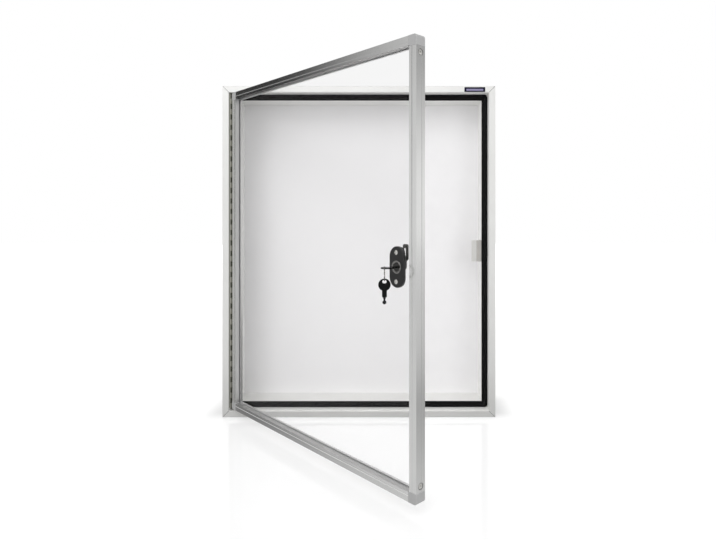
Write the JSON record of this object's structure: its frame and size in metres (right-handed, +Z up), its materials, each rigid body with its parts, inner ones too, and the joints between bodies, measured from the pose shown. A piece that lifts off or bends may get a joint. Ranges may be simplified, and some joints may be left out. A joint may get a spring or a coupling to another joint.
{
  "type": "lockable notice board",
  "caption": "Wall-mounted display case for notices: mitred hollow metal case, white back panel, hinged glazed door and cam lock with a key and spare on a ring.",
  "frame": {"origin": "centre of the case's rear plane, which lies on the wall, midway between the four threaded inserts", "axes": "+X to the right seen from the front, +Y back into the wall, +Z up"},
  "size_m": [0.546, 0.4463, 0.662],
  "materials": {
    "frame_aluminium": "satin anodised",
    "cleat_aluminium": "mill finish",
    "panel_white": "smooth enamel",
    "board_fibre": "pressed fibre board",
    "seal_rubber": "matt",
    "hinge_steel": "satin",
    "pin_steel": "drawn",
    "rivet_aluminium": "plain",
    "strike_steel": "zinc plated",
    "screw_steel": "zinc plated",
    "insert_steel": "zinc plated",
    "plate_dark": "semi-gloss",
    "door_aluminium": "satin anodised",
    "corner_plastic": "moulded",
    "pane_clear": "polished",
    "gasket_rubber": "matt",
    "lock_black": "black coated",
    "lock_nickel": "polished nickel",
    "plug_nickel": "nickel plated",
    "cam_steel": "black zinc plated",
    "key_black": "moulded",
    "blade_dark": "dark plated",
    "ring_steel": "nickel plated"
  },
  "bodies": {
    "case": {"frame_top": "frame_aluminium", "frame_bottom": "frame_aluminium", "frame_left": "frame_aluminium", "frame_right": "frame_aluminium", "frame_corner_cleats": "cleat_aluminium", "back_panel": "panel_white", "backing_board": "board_fibre", "door_seal": "seal_rubber", "hinge_leaf_case": "hinge_steel", "hinge_pin": "pin_steel", "hinge_rivets_case": "rivet_aluminium", "strike_bracket": "strike_steel", "strike_screws": "screw_steel", "threaded_inserts": "insert_steel", "name_plate": "plate_dark"},
    "door": {"door_rail_top": "door_aluminium", "door_rail_bottom": "door_aluminium", "door_stile_hinge": "door_aluminium", "door_stile_lock": "door_aluminium", "door_corner_top_lock": "corner_plastic", "door_corner_bottom_lock": "corner_plastic", "door_corner_top_hinge": "corner_plastic", "door_corner_bottom_hinge": "corner_plastic", "door_corner_screws": "screw_steel", "pane": "pane_clear", "pane_gasket": "gasket_rubber", "hinge_leaf_door": "hinge_steel", "hinge_rivets_door": "rivet_aluminium", "lock_plate": "lock_black", "lock_inner_plate": "lock_black", "lock_screws": "screw_steel", "lock_housing": "lock_nickel"},
    "lock_plug": {"lock_plug": "plug_nickel", "lock_cam": "cam_steel", "lock_cam_screw": "screw_steel"},
    "key": {"key_bow": "key_black", "key_blade": "blade_dark"},
    "ring": {"key_ring": "ring_steel"},
    "spare_key": {"spare_key_bow": "key_black", "spare_key_blade": "blade_dark"}
  },
  "joints": [
    {"name": "door_swing", "type": "hinge", "parent": "case", "child": "door", "pos_m": [-0.2563, -0.0773, 0], "axis": [0, 0, -1], "range_deg": [-45.6, 84.4]},
    {"name": "key_turn", "type": "hinge", "parent": "door", "child": "lock_plug", "pos_m": [0.07422, -0.41538, 0.0015], "axis": [0.7145, 0.6997, 0], "range_deg": [0, 90]},
    {"name": "key_withdraw", "type": "slide", "parent": "lock_plug", "child": "key", "axis": [-0.7145, -0.6997, 0], "range_m": [0, 0.02]},
    {"name": "ring_hang", "type": "hinge", "parent": "key", "child": "ring", "pos_m": [0.07422, -0.41538, 0.0015], "axis": [0.7145, 0.6997, 0], "range_deg": [-90, 0]},
    {"name": "spare_key_swing", "type": "hinge", "parent": "ring", "child": "spare_key", "pos_m": [0.06143, -0.43311, -0.01488], "axis": [0, 1, 0], "range_deg": [-18, 18]}
  ],
  "couplings": [
    {"joint": "ring_hang", "follows": "key_turn", "ratio": -1}
  ]
}
